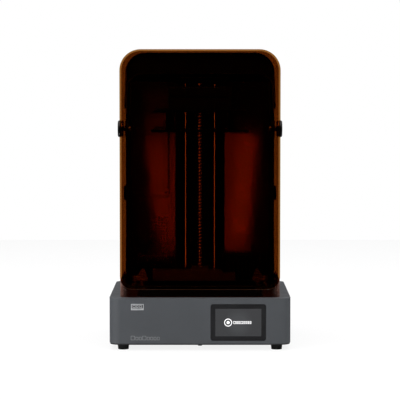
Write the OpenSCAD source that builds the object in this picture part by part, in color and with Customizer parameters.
// Resin printer with a flip-up hood.
// Origin: centre of the footprint on the surface it stands on. X right, -Y front, Z up.

/* [Base] */
// Width of the base
base_w = 427; // [400:1:460]
// Depth of the base
base_d = 400; // [390:1:420]
// Height of the rubber feet
foot_h = 13; // [8:1:14]
// Height of the base's top face
base_top = 123; // [121:1:125]
// Radius of the base's upright corners
base_corner = 28; // [15:1:40]

/* [Hood] */
// Half of the hood's outer width
hood_half = 188.6; // [188:0.1:190]
// Thickness of the hood's panels
hood_wall = 4; // [3:0.5:4]
// Height of the hood's top
hood_top = 706; // [704:1:720]
// Height of the hood's lower edge
hood_low = 142; // [141:1:143]
// Front face of the hood
hood_front = -180; // [-184:1:-178]
// Radius of the hood's upper corners
hood_top_r = 49.5; // [45:0.5:50]
// Radius of the hood's lower corners
hood_low_r = 30; // [18:1:32]
// Diameter of the hinge knobs
knob_d = 41; // [32:1:46]

/* [Build volume] */
// Width of the build plate
plate_w = 235; // [200:1:238]
// Depth of the build plate
plate_d = 135; // [110:1:137]
// Underside of the build plate at rest
plate_z = 510.6; // [500:0.1:512]
// Middle of the build area, front to back
work_y = -56; // [-58:1:-54]

/* [Screw and rails] */
// Radius of the lead screw
screw_r = 6; // [5:0.5:6]
// Running clearance of the screw and the pins, on the radius
run_gap = 0.05; // [0.02:0.01:0.1]
// Width of the profile rails
rail_w = 15; // [12:1:16]
// Distance between the rail screws
rail_pitch = 60; // [50:5:60]

/* [Hidden] */

// Walls and levels of the base
shell = 3;
front_y = -base_d / 2;
rear_y = base_d / 2;
plate_t = 3;
deck_t = 4;
base_low = foot_h + plate_t;
deck_under = base_top - deck_t;
foot_at = [181, 172];
foot_r = 15;

// Openings in the base, as low and high along X and Z
badge_x = [-162, -132];
badge_z = [95, 110];
inlet_x = [134, 166];
inlet_z = [78, 106];
switch_x = [106, 126];
switch_z = [80, 104];
port_x = [-168, -132];
port_z = [34, 52];
edge_gap = 0.4;
rocker_y = 193;
rocker_z = 92;
rocker_r = 1.5;

// Hood and its hinge
hinge_y = 40;
hinge_z = 516;
pin_r = 6;
knob_out = 202.4;
knob_lip = 2;
lip_in = 166.5;
collar_r = 20;
hood_rear = 170;
cap_low = 616;
side_rear = 90;
side_top = 581;
side_low = [[35, hood_low], [80, 240], [side_rear, 262]];

// Rear housing: half width, depth, rounded head and slanted front edge
house_half = 184;
house_front = 62;
house_toe = 30;
toe_slot = 50;
skin_gap = 0.5;
house_rear = 195;
house_corner = 44;
head_r = 182;
head_gap = 2.7;
slant = [[62, 550], [158, 656]];
slant_top = 657;
seam_y = slant[1][0] + 1;
ear_r = 20;
ear_in = 176;
high = 720;

// Chamber's back wall and what is mounted on it
liner_half = 175.5;
liner_y = 137;
liner_top = 632;
liner_rear = liner_y + shell;
panel_x = [-168, -78];
panel_z = [343, 524];
panel_slots = [349:14:510];
low_slots = [-119:14:-90];
slot_l = 8;
vent_x = [-131, -78];
vent_z = [209, 295];
drawer_x = [-155, -81];
drawer_y = 98;
drawer_z = [178, 195];
heater_x = [66, 156];
heater_y = 101;
heater_top = 197;

// Display in the base's front
screen_mid = [90, 66];
glass_size = [130.6, 87];
screen_size = [108, 64.8];

// Fans: size, depth and the place of the frame's face
engine_fan = [76, 20];
engine_fan_at = [150, work_y, 58];
filter_fan = [60, 18];
filter_fan_at = [-104.5, liner_rear + 2, 252];

// Vat, film and light engine
vat_w = 289;
vat_d = 195;
vat_top = 140;
vat_low = 110;
vat_wall = 8;
ring_low = 105.4;
ring_top = 109.6;
well_gap = 6;
well_w = vat_w + 2 * well_gap;
well_d = vat_d + 2 * well_gap;
well_corner = 14;
window = [plate_w + 9, plate_d + 7];
mask_size = [plate_w + 1, plate_d - 1];
mask_low = 101;
mask_top = 109.3;
engine_low = 56;
sink_low = 28;

// Column, rails, screw and carriage
col_half = 62;
col_y = 100;
col_d = 35;
col_top = 629;
cap_top = 643;
rail_x = 43;
rail_h = 10;
rail_z = [165, 628];
rail_screws = [rail_z[0] + 22:rail_pitch:rail_z[1] - 20];
screw_y = 84;
screw_z = [139, 638];
motor_w = 56.4;
shaft_r = 4;
block_top = 164;
block_x = [-118, 50, 88];
block_y = 58;
step_top = 156;
bearing_top = 172;
carriage_z = [573, 620];
plate_y = [64, 76];
arm_z = [563, 597];
arm_half = 75;
arm_front = -92;
arm_wall = 5;
bracket_low = 557;
latch_y = -30;
latch_z = 607;
latch_r = 7;
latch_pin_r = 4;
latch_x = [60, 70, 76];

// Vat clamps
clamp_x = 158;
clamp_y = -30;
clamp_z = 147;
clamp_pin_r = 3;

// ---------- shared shapes ----------

// Rectangle with round corners, centred
module rounded(w, d, r) {
    square([w - 2 * r, d], center = true);
    square([w, d - 2 * r], center = true);
    for (x = [-1, 1], y = [-1, 1])
        translate([x * (w / 2 - r), y * (d / 2 - r)]) circle(r, $fn = 64);
}

// Block with round upright corners, from z0 to z1
module slab(w, d, r, z0, z1) {
    translate([0, 0, z0]) linear_extrude(z1 - z0) rounded(w, d, r);
}

// Block between two opposite corners
module block(a, b) {
    translate(a) cube(b - a);
}

// Carries an outline drawn in X and Z back from y0 to y1
module along_y(y0, y1) {
    translate([0, y1, 0]) rotate([90, 0, 0]) linear_extrude(y1 - y0) children();
}

// Carries an outline drawn in Y and Z across from x0 to x1
module along_x(x0, x1) {
    translate([x0, 0, 0]) rotate([90, 0, 90]) linear_extrude(x1 - x0) children();
}

// Round bar along X, from x0 to x1
module bar_x(x0, x1, r) {
    translate([x0, 0, 0]) rotate([0, 90, 0]) cylinder(h = x1 - x0, r = r, $fn = 64);
}

// Round bar along Y, from y0 to y1
module bar_y(y0, y1, r) {
    translate([0, y1, 0]) rotate([90, 0, 0]) cylinder(h = y1 - y0, r = r, $fn = 64);
}

// The hood's outline from the front, moved inwards by inset
module hood_outline(inset) {
    half = hood_half - inset;
    top = hood_top - inset;
    low = hood_low + inset;
    rt = hood_top_r - inset;
    rl = hood_low_r - inset;
    translate([-half, low + rl]) square([2 * half, top - low - rt - rl]);
    translate([-half + rt, top - rt]) square([2 * (half - rt), rt]);
    translate([-half + rl, low]) square([2 * (half - rl), rl]);
    for (s = [-1, 1]) {
        translate([s * (half - rt), top - rt]) circle(rt, $fn = 96);
        translate([s * (half - rl), low + rl]) circle(rl, $fn = 64);
    }
}

// The rear housing's outline from the side, in Y and Z
module house_side() {
    polygon([
        [house_toe, base_top], [house_rear, base_top], [house_rear, 700],
        [slant[1][0], 700], slant[1], slant[0], [house_front, 250], [house_toe, 172]
    ]);
}

// Solid that turns about the hinge line and rounds the housing's head
module head_round(inset) {
    r = head_r - inset;
    half = house_half - inset;
    c = house_corner;
    translate([0, hinge_y, hinge_z]) rotate([0, 90, 0]) rotate_extrude($fn = 128) {
        translate([0, -half]) square([r - c, 2 * half]);
        translate([0, -half + c]) square([r, 2 * (half - c)]);
        for (s = [-1, 1]) translate([r - c, s * (half - c)]) circle(c, $fn = 96);
    }
}

// The housing's plan: square at the front, round at the rear corners
module house_plan(inset) {
    half = house_half - inset;
    rear = house_rear - inset;
    c = house_corner - inset;
    translate([-half, house_toe - 1]) square([2 * half, rear - c - house_toe + 1]);
    translate([-half + c, rear - c - 1]) square([2 * (half - c), c + 1]);
    for (s = [-1, 1]) translate([s * (half - c), rear - c]) circle(c, $fn = 96);
}

// Space of the housing's body and head, moved inwards by inset
module house_space(inset) {
    intersection() {
        linear_extrude(800) house_plan(inset);
        union() {
            block([-house_half, house_toe - 1, base_top - 1], [house_half, 220, hinge_z]);
            head_round(inset);
        }
    }
}

// ---------- base ----------

// Cuts a window round the display into the base's front
module display_cut(size, r, depth) {
    translate([screen_mid[0], 0, screen_mid[1]]) along_y(front_y - 1, front_y + depth)
        rounded(size[0], size[1], r);
}

// Cuts an opening through the base's rear wall
module rear_cut(x, z) {
    block([x[0], rear_y - shell - 1, z[0]], [x[1], rear_y + 1, z[1]]);
}

module base_shell() {
    vent = [5, 10];
    color("#4d5054") difference() {
        slab(base_w, base_d, base_corner, base_low, base_top);
        slab(base_w - 2 * shell, base_d - 2 * shell, base_corner - shell, base_low - 1, deck_under);
        translate([0, work_y, 0]) slab(well_w, well_d, well_corner, 100, base_top + 1);
        translate([0, screw_y, 100]) cylinder(h = 30, r = 22, $fn = 64);
        display_cut(glass_size, 6, 2);
        display_cut(screen_size + [4, 4], 2, shell + 1);
        block([badge_x[0], front_y - 1, badge_z[0]], [badge_x[1], front_y + 0.8, badge_z[1]]);
        rear_cut(inlet_x, inlet_z);
        rear_cut(switch_x, switch_z);
        rear_cut(port_x, port_z);
        for (k = [-6:5])
            rear_cut([vent[1] * k, vent[1] * k + vent[0]], [40, 80]);
    }
}

module base_plate() {
    air = [25, 40, 6];
    color("#2b2c2e") difference() {
        slab(base_w - shell, base_d - shell, base_corner - shell / 2, foot_h, base_low);
        for (i = [-4:4], j = [-1:1])
            translate([air[0] * i, work_y + air[1] * j, 0]) cylinder(h = 30, r = air[2], $fn = 32);
    }
}

module base_screws() {
    head = [2.8, 1.8];
    socket = [1.3, 1];
    color("#77797c") for (x = [-180, -60, 60, 180], y = [-140, 140]) translate([x, y, 0]) {
        difference() {
            translate([0, 0, foot_h - head[1]]) cylinder(h = head[1], r = head[0], $fn = 32);
            translate([0, 0, foot_h - head[1] - 1]) cylinder(h = 1 + socket[1], r = socket[0], $fn = 6);
        }
    }
}

module foot(x, y) {
    flange = 2;
    color("#161616") translate([x, y, 0]) {
        cylinder(h = foot_h - flange, r1 = foot_r - 2.5, r2 = foot_r - 1.5, $fn = 64);
        translate([0, 0, foot_h - flange]) cylinder(h = flange, r = foot_r, $fn = 64);
    }
}

module front_pad() {
    pad = [5, 3];
    color("#161616") translate([0, front_y + 14, foot_h - pad[1]])
        cylinder(h = pad[1], r = pad[0], $fn = 32);
}

module display_glass() {
    gap = 0.3;
    color("#242426") translate([screen_mid[0], 0, screen_mid[1]])
        along_y(front_y + 0.2, front_y + 1.9)
            rounded(glass_size[0] - 2 * gap, glass_size[1] - 2 * gap, 6 - gap);
}

module display_panel() {
    color("#404246") translate([screen_mid[0], 0, screen_mid[1]])
        along_y(front_y + 2, front_y + 7)
            rounded(screen_size[0] + shell, screen_size[1] + shell, 1.5);
}

// Driver board behind the display, two chips and the ribbon to the mainboard
module display_board() {
    rear = front_y + 8;
    t = 1.6;
    ribbon_x = [104, 120];
    ribbon_y = -136;
    color("#1f5a34") {
        block([34, rear, 32], [146, rear + t, 100]);
        block([60, rear + t, 50], [90, rear + 4, 80]);
        block([100, rear + t, 36], [124, rear + 7, 44]);
    }
    color("#c9c4b4") {
        block([ribbon_x[0], rear + 7, 38], [ribbon_x[1], ribbon_y, 38.6]);
        block([ribbon_x[0], ribbon_y - 0.6, 18], [ribbon_x[1], ribbon_y, 38]);
    }
}

module badge_plate() {
    gap = 0.2;
    rim = 1.7;
    color("#9b9da0") difference() {
        block([badge_x[0] + gap, front_y + 0.1, badge_z[0] + gap],
            [badge_x[1] - gap, front_y + 0.8, badge_z[1] - gap]);
        block([badge_x[0] + rim, front_y - 1, badge_z[0] + rim],
            [badge_x[1] - rim, front_y + 0.4, badge_z[1] - rim]);
    }
}

module deck_plate() {
    flange = 6;
    color("#8d9094") difference() {
        translate([0, work_y, 0])
            slab(well_w + 2 * flange, well_d + 2 * flange, well_corner + 4, mask_low, deck_under);
        translate([0, work_y, 0]) slab(well_w, well_d, well_corner, ring_low - 0.4, base_top);
        translate([0, work_y, 0]) slab(mask_size[0] + 0.4, mask_size[1] + 0.4, 3, 90, base_top);
    }
}

module mask_screen() {
    color("#15171c") translate([0, work_y, 0])
        slab(mask_size[0], mask_size[1], 3, mask_low, mask_top);
}

module reflector_box() {
    wall = 4;
    color("#b4b6b8") translate([0, work_y, 0]) difference() {
        slab(mask_size[0] + wall, mask_size[1] + wall, 3, engine_low + 2, mask_low);
        slab(mask_size[0] - wall, mask_size[1] - wall, 2, engine_low, mask_low + 1);
    }
}

module lens_plate() {
    color("#dfe6ea") translate([0, work_y, 0])
        slab(mask_size[0] - 4.4, mask_size[1] - 4.4, 1.8, 88, 91);
}

module led_board() {
    lamp_pitch = [23, 21];
    color("#e8e8e2") translate([0, work_y, 0]) {
        slab(mask_size[0], mask_size[1], 2, engine_low, engine_low + 2);
        for (i = [-4.5:4.5], j = [-2.5:2.5])
            translate([i * lamp_pitch[0], j * lamp_pitch[1], engine_low + 2])
                cylinder(h = 4, r = 4.5, $fn = 24);
    }
}

module heat_sink() {
    half = [110, 60];
    base_z = 50;
    fin = [6, 2];
    color("#a7abb0") translate([0, work_y, 0]) {
        block([-half[0], -half[1], base_z], [half[0], half[1], engine_low]);
        for (k = [-9:9])
            block([-half[0], fin[0] * k - fin[1] / 2, sink_low], [half[0], fin[0] * k + fin[1] / 2, base_z]);
    }
}

// Square fan frame in the Y and Z plane, open in the middle, with its hub pin
module fan_frame(size, depth) {
    difference() {
        block([0, -size / 2, -size / 2], [depth, size / 2, size / 2]);
        bar_x(-1, depth + 1, size / 2 - 2);
    }
    for (a = [0, 90])
        rotate([a, 0, 0]) block([0, -size / 2 + 1, -2], [1.6, size / 2 - 1, 2]);
    bar_x(0, depth - 2, 2);
}

// Fan rotor about X, clear of its frame
module fan_rotor(size, depth) {
    difference() {
        union() {
            bar_x(2.4, depth - 1, size * 0.2);
            for (k = [0:6]) rotate([k * 360 / 7, 0, 0]) translate([depth / 2, 0, size * 0.15])
                rotate([0, 0, 35]) block([-0.8, -size * 0.12, 0], [0.8, size * 0.12, size * 0.29]);
        }
        bar_x(2, depth - 1.9, 2 + run_gap);
    }
}

module engine_fan_frame() {
    color("#232427") translate(engine_fan_at) fan_frame(engine_fan[0], engine_fan[1]);
}

module engine_fan_rotor() {
    color("#303236") translate(engine_fan_at) fan_rotor(engine_fan[0], engine_fan[1]);
}

// Circuit board on four posts, with a chip, plugs and capacitors
module mainboard() {
    under = 22;
    top = 23.6;
    color("#1f5a34") {
        block([-190, 70, under], [-40, 180, top]);
        for (x = [-182, -48], y = [78, 172])
            translate([x, y, base_low]) cylinder(h = under - base_low + 1, r = 3, $fn = 24);
        block([-150, 100, top], [-115, 135, 26]);
        for (k = [0:3]) block([-100 + 14 * k, 150, top], [-90 + 14 * k, 162, 34]);
        for (k = [0:2]) translate([-176 + 14 * k, 90, top]) cylinder(h = 14, r = 5, $fn = 32);
        block([-100, 76, top], [-60, 86, 33]);
    }
}

module power_supply() {
    low = [45, 95, base_low];
    top = [188, 182, 72];
    t = 2;
    color("#9a9da0") difference() {
        block(low, top);
        block(low + [t, t, t], top - [t, t, t]);
        for (k = [0:9]) block([58 + 12 * k, 90, 25], [63 + 12 * k, 200, 62]);
    }
}

// Mains inlet with its three blades, beside the frame of the rocker switch
module power_inlet() {
    pocket_y = 183;
    color("#1a1a1b") difference() {
        union() {
            block([inlet_x[0] + edge_gap, 176, inlet_z[0] + edge_gap],
                [inlet_x[1] - edge_gap, rear_y, inlet_z[1] - edge_gap]);
            block([106.4, 182, 80.4], [108, rear_y, 103.6]);
            block([124, 182, 80.4], [125.6, rear_y, 103.6]);
            block([108, 182, 80.4], [124, 183.6, 103.6]);
            block([125.6, 190, 84], [134.4, 192, 100]);
        }
        block([138, pocket_y, 83], [162, rear_y + 1, 101]);
        translate([0, rocker_y, rocker_z]) bar_x(switch_x[0], switch_x[1], rocker_r + run_gap);
    }
    color("#c8b070") for (x = [143, 150, 157])
        block([x - 1, pocket_y - 2, 89], [x + 1, 196, 95]);
}

module power_switch() {
    color("#202021") translate([0, rocker_y, rocker_z]) {
        bar_x(106.6, 125.4, rocker_r);
        along_x(108.5, 123.5)
            polygon([[-3, -9], [5.5, -9.5], [3.2, 0], [4.6, 9.5], [-3, 9]]);
    }
}

// Metal shell of one data socket, open towards the rear
module socket_shell(x, z, t) {
    difference() {
        block([x[0], 184, z[0]], [x[1], rear_y, z[1]]);
        block([x[0] + t, 186, z[0] + t], [x[1] - t, rear_y + 1, z[1] - t]);
    }
}

module data_port() {
    color("#b9bbbd") {
        socket_shell([-166, -150], [36, 50], 1.5);
        socket_shell([-147, -134], [37, 49], 1.3);
        block([port_x[0], 182, port_z[0] - 1], [port_x[1], 184, port_z[1] + 1]);
    }
}

module collar() {
    collar_h = 39.5;
    color("#c7a79c") difference() {
        translate([0, 0, base_top]) linear_extrude(collar_h) difference() {
            collar_plan(0);
            collar_plan(hood_wall);
        }
        along_y(hood_front - 1, house_front + 1) hood_outline(-skin_gap);
    }
}

// The collar's plan: round front corners, open at the rear
module collar_plan(inset) {
    half = hood_half - inset;
    r = collar_r - inset;
    y0 = hood_front + inset;
    y1 = house_front - 2 + inset;
    translate([-half, y0 + r]) square([2 * half, y1 - y0 - r]);
    translate([-half + r, y0]) square([2 * (half - r), r + 1]);
    for (s = [-1, 1]) translate([s * (half - r), y0 + r]) circle(r, $fn = 64);
}

// ---------- hood ----------

// Closed outside of the hood, less its inside
module hood_skin() {
    difference() {
        along_y(hood_front, hood_rear) hood_outline(0);
        along_y(hood_front + hood_wall, hood_rear - hood_wall) hood_outline(hood_wall);
        block([-lip_in, hood_front + hood_wall, hood_low - 1], [lip_in, 200, hood_low + 9]);
    }
}

// Side view of the clear part: cut back low at the rear, and along the slant
module clear_side() {
    polygon(concat(
        [[hood_front - 10, 100], [side_low[0][0], 100]], side_low,
        [[side_rear, side_top], [seam_y, slant_top], [seam_y, high], [hood_front - 10, high]]
    ));
}

module hood_shell() {
    color("#8a3c0c") difference() {
        intersection() {
            hood_skin();
            along_x(-200, 200) clear_side();
        }
        for (s = [-1, 1])
            translate([0, hinge_y, hinge_z]) bar_x(s * 186 - 5, s * 186 + 5, pin_r + 0.02);
    }
}

// Side view of the dark rear part, which runs down beside the housing's head
module cap_side() {
    polygon([
        [seam_y, high], [seam_y, slant_top], [side_rear + 1, side_top + 1], [side_rear + 1, 565],
        [seam_y, cap_low], [hood_rear + 1, cap_low], [hood_rear + 1, high]
    ]);
}

module hood_rear_cap() {
    inner = hood_half - hood_wall;
    color("#1b1a1a") difference() {
        intersection() {
            hood_skin();
            along_x(-200, 200) cap_side();
        }
        intersection() {
            head_round(-head_gap);
            block([-inner, 0, hinge_z], [inner, 300, high]);
        }
    }
}

module hood_seal() {
    color("#0d0d0d") intersection() {
        along_y(hood_front + hood_wall, hood_front + 12) difference() {
            hood_outline(hood_wall);
            hood_outline(hood_wall + 4);
        }
        block([-200, -200, hood_low], [200, 0, hood_low + hood_low_r]);
    }
}

module hinge_knob(s) {
    color("#3b3c40") translate([0, hinge_y, hinge_z]) mirror([s < 0 ? 1 : 0, 0, 0]) difference() {
        union() {
            bar_x(hood_half, knob_out - knob_lip, knob_d / 2);
            bar_x(knob_out - knob_lip, knob_out, knob_d / 2 - knob_lip);
            bar_x(170, hood_half, pin_r);
        }
        bar_x(knob_out - 3, knob_out + 1, 7);
    }
}

// ---------- rear housing ----------

module rear_housing() {
    vent = [32, 6, 14];
    color("#26272a") difference() {
        union() {
            intersection() {
                difference() {
                    house_space(0);
                    house_space(shell);
                }
                along_x(-house_half, house_half) house_side();
            }
            for (s = [-1, 1]) mirror([s < 0 ? 1 : 0, 0, 0]) ear();
            for (s = [-1, 1]) mirror([s < 0 ? 1 : 0, 0, 0]) side_fittings();
        }
        for (s = [-1, 1])
            translate([0, hinge_y, hinge_z]) bar_x(s * 180 - 10, s * 180 + 10, pin_r + run_gap);
        for (k = [0:7], s = [-1, 1]) translate([s * 90, 0, 200 + vent[2] * k])
            block([-vent[0], house_rear - 5, 0], [vent[0], house_rear + 5, vent[1]]);
        along_y(house_toe - 2, toe_slot) difference() {
            hood_outline(-skin_gap);
            hood_outline(hood_wall + skin_gap);
        }
    }
}

// Inner ear that carries the hinge pin, and the cheek behind it
module ear() {
    out = house_half - 0.5;
    translate([0, hinge_y, hinge_z]) bar_x(ear_in, house_half, ear_r);
    block([ear_in, hinge_y, hinge_z - ear_r], [out, house_front + 30, hinge_z + ear_r]);
    block([ear_in, house_front, 130], [out, house_front + 6, 540]);
}

// Hood stop and locating stud on the outside of a cheek
module side_fittings() {
    block([house_half - 1, side_rear + 1.5, 337], [190.6, 112, 372]);
    translate([0, 100, 145]) bar_x(house_half - 1, 194.8, 4.5);
}

module rear_liner() {
    color("#8b8c8e") difference() {
        union() {
            block([-liner_half, liner_y, base_top], [liner_half, liner_rear, liner_top]);
            for (s = [-1, 1]) mirror([s < 0 ? 1 : 0, 0, 0]) intersection() {
                block([liner_half - shell, house_front, base_top], [liner_half, liner_y, liner_top]);
                along_x(0, 200) house_side();
            }
        }
        block([vent_x[0] + 2, liner_y - 1, vent_z[0] + 2],
            [vent_x[1] - 2, liner_rear + 2, vent_z[1] - 2]);
        for (z = panel_slots)
            block([panel_x[1] - 1.5, liner_y - 1, z], [panel_x[1] + 1.5, liner_rear + 2, z + slot_l]);
        for (s = [-1, 1]) mirror([s < 0 ? 1 : 0, 0, 0])
            block([170, hinge_y, hinge_z - ear_r - 1],
                [180, house_front + 31, hinge_z + ear_r + 1]);
    }
}

module service_panel() {
    t = 2;
    color("#838486") difference() {
        block([panel_x[0], liner_y - t, panel_z[0]], [panel_x[1], liner_y, panel_z[1]]);
        for (z = panel_slots)
            block([panel_x[1] - t, liner_y - 3, z], [panel_x[1] + 1, liner_y + 1, z + slot_l]);
        for (x = low_slots)
            block([x, liner_y - 3, panel_z[0] - 1], [x + slot_l, liner_y + 1, panel_z[0] + t]);
    }
}

// Pierced grille with the filter fan's frame behind it
module vent_grille() {
    hole = [2.2, 7];
    color("#7a7b7e") difference() {
        block([vent_x[0], liner_y - 2, vent_z[0]], [vent_x[1], liner_y, vent_z[1]]);
        for (i = [0:6], j = [0:11])
            translate([vent_x[0] + 5.5 + hole[1] * i, 0, vent_z[0] + 4.5 + hole[1] * j])
                bar_y(liner_y - 3, liner_y + 1, hole[0]);
    }
    color("#303236") translate(filter_fan_at) rotate([0, 0, 90])
        fan_frame(filter_fan[0], filter_fan[1]);
}

module filter_fan_rotor() {
    color("#303236") translate(filter_fan_at) rotate([0, 0, 90])
        fan_rotor(filter_fan[0], filter_fan[1]);
}

// Drawer with its two runners and the filter cartridge in it
module filter_drawer() {
    t = 2;
    runner = 4;
    color("#3c3d40") {
        difference() {
            block([drawer_x[0], drawer_y, drawer_z[0]], [drawer_x[1], liner_y, drawer_z[1]]);
            block([drawer_x[0] + t, drawer_y + t, drawer_z[0] + t],
                [drawer_x[1] - t, liner_y - t, drawer_z[1] + 1]);
        }
        block([drawer_x[0] - runner, drawer_y - t, drawer_z[0] - 1],
            [drawer_x[0], liner_y, drawer_z[1] + t]);
        block([drawer_x[1], drawer_y - t, drawer_z[0] - 1],
            [drawer_x[1] + runner, liner_y, drawer_z[1] + t]);
    }
    color("#151515") block([drawer_x[0] + t, drawer_y + t, drawer_z[0] + t],
        [drawer_x[1] - t, liner_y - t, drawer_z[1] - t]);
}

// Chamber heater with an air grille, and the resin level probe beside it
module heater_box() {
    slot = [10, 5];
    color("#141415") difference() {
        block([heater_x[0], heater_y, base_top], [heater_x[1], liner_y, heater_top]);
        block([heater_x[0] + shell, heater_y + shell, base_top + shell],
            [heater_x[1] - shell, liner_y + 1, heater_top - shell]);
        for (k = [0:6]) translate([heater_x[0] + 12 + slot[0] * k, 0, 0])
            block([0, heater_y - 1, 136], [slot[1], heater_y + shell + 1, 184]);
    }
    color("#b4582a") block([heater_x[0] - 3, heater_y, base_top], [heater_x[0] - 1, heater_y + 3, 200]);
}

// ---------- column and screw ----------

// Casting at the column's foot, with the lower bearing of the screw
module foot_block() {
    wall = 4;
    color("#5a5c60") difference() {
        union() {
            block([block_x[0], block_y, base_top], [block_x[1], col_y, block_top]);
            block([block_x[1], block_y, base_top], [block_x[2], col_y, step_top]);
            along_y(block_y, col_y)
                polygon([[block_x[1], step_top], [block_x[1] + 8, step_top], [block_x[1], block_top]]);
            block([-21, 66, block_top], [21, col_y, bearing_top]);
        }
        translate([0, screw_y, base_top - 1]) cylinder(h = 33, r = 15, $fn = 64);
        translate([0, screw_y, base_top]) cylinder(h = 60, r = screw_r + run_gap, $fn = 64);
        block([block_x[0] + 5, block_y + wall, base_top - 1], [-24, col_y - wall, block_top - wall]);
        block([24, block_y + wall, base_top - 1], [block_x[2] - wall, col_y - wall, step_top - wall]);
    }
}

module column() {
    channel = [16, 44];
    color("#101011") difference() {
        block([-col_half, col_y, base_top], [col_half, col_y + col_d, col_top]);
        block([-22, col_y - 1, base_top + 50], [22, col_y + 8, col_top + 1]);
        for (x = [-channel[1], 0, channel[1]])
            block([x - channel[0], col_y + 12, base_top - 1],
                [x + channel[0], col_y + col_d - 4, col_top + 1]);
    }
}

module column_cap() {
    color("#4a4c50") difference() {
        block([-70, 66, col_top], [70, liner_y - 1, cap_top]);
        translate([0, screw_y, col_top - 1])
            cylinder(h = screw_z[1] - col_top + 2, r = screw_r + run_gap, $fn = 64);
    }
}

// Profile rail with its side grooves and countersunk screws
module rail(x) {
    face = col_y - rail_h;
    color("#8c8f94") difference() {
        block([x - rail_w / 2, face, rail_z[0]], [x + rail_w / 2, col_y, rail_z[1]]);
        for (s = [-1, 1]) translate([x + s * rail_w / 2, 0, 0])
            block([-1.2, col_y - 6, rail_z[0] - 5], [1.2, col_y - 3.6, rail_z[1] + 12]);
        for (z = rail_screws) translate([x, 0, z]) {
            bar_y(face - 1, face + 5, 4);
            bar_y(face, col_y + 1, 2.2);
        }
    }
    color("#5d6064") for (z = rail_screws)
        translate([x, 0, z]) difference() {
            bar_y(face + 1.4, face + 5, 3.6);
            bar_y(face + 0.4, face + 3, 1.6);
        }
}

// Stepper motor: steel stack between two end caps, with four screw bores
module z_motor() {
    stack_z = [58, 60];
    color("#1c1d1f") translate([0, screw_y, 0]) difference() {
        union() {
            slab(motor_w, motor_w, 4, 46, deck_under);
            translate([0, 0, deck_under]) cylinder(h = 1.6, r = 19, $fn = 64);
        }
        translate([0, 0, 90]) cylinder(h = 40, r = shaft_r + run_gap, $fn = 48);
        for (x = [-1, 1], y = [-1, 1])
            translate([x * 23.6, y * 23.6, 40]) cylinder(h = 100, r = 2.5, $fn = 24);
        slab(60, 60, 1, stack_z[0], stack_z[1]);
    }
    color("#9a9da0") translate([0, screw_y, 0]) slab(54, 54, 4, stack_z[0], stack_z[1]);
}

// Slotted coupler on the motor's shaft
module motor_coupler() {
    low = 126;
    h = 26;
    color("#9fa3a8") translate([0, screw_y, 0]) {
        difference() {
            translate([0, 0, low]) cylinder(h = h, r = 12.5, $fn = 64);
            translate([0, 0, screw_z[0]]) cylinder(h = 14, r = screw_r, $fn = 64);
            for (z = [134, 143]) translate([-14, -3, z]) cube([28, 18, 1]);
        }
        translate([0, 0, 92]) cylinder(h = low - 91, r = shaft_r, $fn = 48);
    }
}

module lead_screw() {
    color("#a8743a") translate([0, screw_y, screw_z[0]])
        cylinder(h = screw_z[1] - screw_z[0], r = screw_r, $fn = 64);
}

// ---------- carriage and platform ----------

module carriage_plate() {
    bolt = [9, 4];
    color("#2c2e31") difference() {
        block([-col_half, plate_y[0], carriage_z[0]], [col_half, plate_y[1], carriage_z[1]]);
        for (s = [-1, 1], t = [-bolt[0], bolt[0]], z = [carriage_z[0] + 9, carriage_z[1] - 9])
            translate([s * rail_x + t, 0, z]) bar_y(plate_y[0] - 1, plate_y[1] - 6, bolt[1]);
    }
}

module rail_block(x) {
    half = 17;
    slide = rail_w / 2 + 0.5;
    color("#85888d") difference() {
        block([x - half, plate_y[1], carriage_z[0]], [x + half, col_y - 2, carriage_z[1]]);
        block([x - slide, col_y - rail_h - 0.5, carriage_z[0] - 6],
            [x + slide, col_y, carriage_z[1] + 10]);
    }
}

module lead_nut() {
    flange_z = [578, 590];
    color("#b98b3a") difference() {
        union() {
            block([-15, plate_y[1], flange_z[0]], [15, col_y - 5, flange_z[1]]);
            translate([0, screw_y, flange_z[1]]) cylinder(h = 16, r = 8, $fn = 64);
        }
        translate([0, screw_y, flange_z[0] - 8]) cylinder(h = 40, r = screw_r + run_gap, $fn = 64);
    }
}

// Hollow cantilever arm with a stepped front edge and the latch's two ears
module platform_arm() {
    step = [10, 591];
    roof = 587;
    side = arm_half + 1;
    color("#232427") difference() {
        block([-arm_half, arm_front, arm_z[0]], [arm_half, plate_y[0], arm_z[1]]);
        block([-arm_half + arm_wall, arm_front + arm_wall, arm_z[0] - 1],
            [arm_half - arm_wall, plate_y[0] - 12, roof]);
        block([-side, arm_front - 1, step[1]], [side, arm_front + step[0], arm_z[1] + 1]);
        block([-side, block_y - 2, arm_z[0] - 1], [side, plate_y[0] + 1, arm_z[0] + 3]);
    }
    color("#232427") for (s = [-1, 1]) mirror([s < 0 ? 1 : 0, 0, 0]) difference() {
        block([latch_x[0], latch_y - 9, arm_z[1]], [latch_x[1] - 1, latch_y + 9, latch_z + 8]);
        translate([0, latch_y, latch_z]) bar_x(latch_x[0] - 5, latch_x[1] + 5, latch_pin_r + run_gap);
    }
}

// Cross plate under the arm, with the two hollow posts that hold the build plate
module platform_bracket() {
    post_x = [67, 82];
    color("#8a8d91") {
        block([-112, arm_front, bracket_low], [112, -20, arm_z[0]]);
        for (s = [-1, 1]) mirror([s < 0 ? 1 : 0, 0, 0]) difference() {
            block([post_x[0], -90, plate_z + 5], [post_x[1], -22, bracket_low]);
            block([post_x[0] + 4, -84, plate_z + 12], [post_x[1] + 1, -28, bracket_low - 6]);
        }
    }
}

module build_plate() {
    color("#a3a6aa") translate([0, work_y, 0]) slab(plate_w, plate_d, 5, plate_z, plate_z + 5);
}

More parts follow.
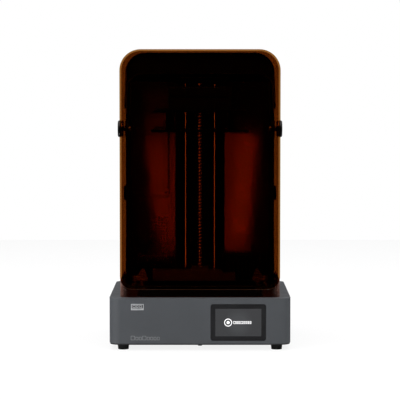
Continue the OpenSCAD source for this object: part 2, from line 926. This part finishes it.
// Front bar and two side levers that turn on the arm's ears
module platform_latch() {
    bar_y0 = -75;
    color("#0c0c0d") {
        block([-latch_x[2], arm_front, 598], [latch_x[2], bar_y0 + 1, 617]);
        for (s = [-1, 1]) mirror([s < 0 ? 1 : 0, 0, 0]) {
            block([latch_x[1], bar_y0, latch_z - latch_r], [latch_x[2], latch_y, latch_z + latch_r]);
            translate([0, latch_y, latch_z]) bar_x(latch_x[1], latch_x[2], latch_r);
            translate([0, latch_y, latch_z]) bar_x(latch_x[0], latch_x[1], latch_pin_r);
        }
    }
}

// ---------- vat ----------

module vat_body() {
    inside = [vat_w - 2 * vat_wall, vat_d - 2 * vat_wall];
    color("#6d7176") translate([0, work_y, 0]) difference() {
        slab(vat_w, vat_d, 12, vat_low, vat_top);
        slab(inside[0], inside[1], 6, vat_low + 6, vat_top + 1);
        slab(window[0], window[1], 4, vat_low - 1, vat_top);
        for (s = [-1, 1]) translate([s * (vat_w / 2 - 5), 0, 0]) slab(6, 60, 2, vat_low - 1, 128);
    }
}

// Stretched film and the ring that clamps it under the vat
module vat_film() {
    ring = [vat_w - 24, vat_d - 24];
    color("#cfd6d8") translate([0, work_y, 0]) {
        slab(ring[0], ring[1], 6, ring_top, vat_low);
        difference() {
            slab(ring[0], ring[1], 6, ring_low, ring_top);
            slab(window[0], window[1], 4, ring_low - 5, vat_low + 1);
        }
    }
}

// Upright pin on a wider shoulder
module clamp_post(s) {
    color("#5a5c60") translate([s * clamp_x, clamp_y, base_top]) {
        cylinder(h = clamp_z - 5 - base_top, r = 2 * clamp_pin_r, $fn = 48);
        cylinder(h = clamp_z + 9 - base_top, r = clamp_pin_r, $fn = 48);
    }
}

// Swinging clamp: hub, arm with a pressing foot over the vat's rim, and a wedge-shaped lever
module clamp(s) {
    hub = [7, 13];
    reach = 31;
    foot_x = 17;
    foot_z = vat_top + 1;
    lever_top = 177;
    color("#74777c") mirror([s > 0 ? 1 : 0, 0, 0]) translate([-clamp_x, clamp_y, 0]) difference() {
        union() {
            translate([0, 0, clamp_z]) cylinder(h = hub[1], r = hub[0], $fn = 48);
            block([0, -hub[0], clamp_z], [reach - 2, hub[0], clamp_z + 4]);
            translate([foot_x, 0, foot_z]) cylinder(h = clamp_z + 1 - foot_z, r = 3.5, $fn = 32);
            along_y(-6, 6) polygon([
                [5, clamp_z + 2], [reach, clamp_z + 2], [reach, clamp_z + 5],
                [reach - 9, lever_top], [reach - 14, lever_top], [6, clamp_z + hub[1]]
            ]);
        }
        translate([0, 0, clamp_z - 1]) cylinder(h = 10.4, r = clamp_pin_r + run_gap, $fn = 48);
    }
}

// ---------- drawing ----------

base_shell();
base_plate();
foot(-foot_at[0], -foot_at[1]);  // foot_front_left
foot(foot_at[0], -foot_at[1]);  // foot_front_right
foot(-foot_at[0], foot_at[1]);  // foot_rear_left
foot(foot_at[0], foot_at[1]);  // foot_rear_right
front_pad();
display_glass();
display_panel();
display_board();
base_screws();
badge_plate();
deck_plate();
mask_screen();
reflector_box();
lens_plate();
led_board();
heat_sink();
engine_fan_frame();
engine_fan_rotor();
mainboard();
power_supply();
power_inlet();
power_switch();
data_port();
collar();
hood_shell();
hood_rear_cap();
hood_seal();
hinge_knob(-1);  // hinge_knob_left
hinge_knob(1);  // hinge_knob_right
rear_housing();
rear_liner();
service_panel();
vent_grille();
filter_drawer();
filter_fan_rotor();
heater_box();
foot_block();
column();
column_cap();
rail(-rail_x);  // rail_left
rail(rail_x);  // rail_right
z_motor();
motor_coupler();
lead_screw();
carriage_plate();
rail_block(-rail_x);  // rail_block_left
rail_block(rail_x);  // rail_block_right
lead_nut();
platform_arm();
platform_bracket();
build_plate();
platform_latch();
vat_body();
vat_film();
clamp_post(-1);  // clamp_post_left
clamp_post(1);  // clamp_post_right
clamp(-1);  // clamp_left
clamp(1);  // clamp_right
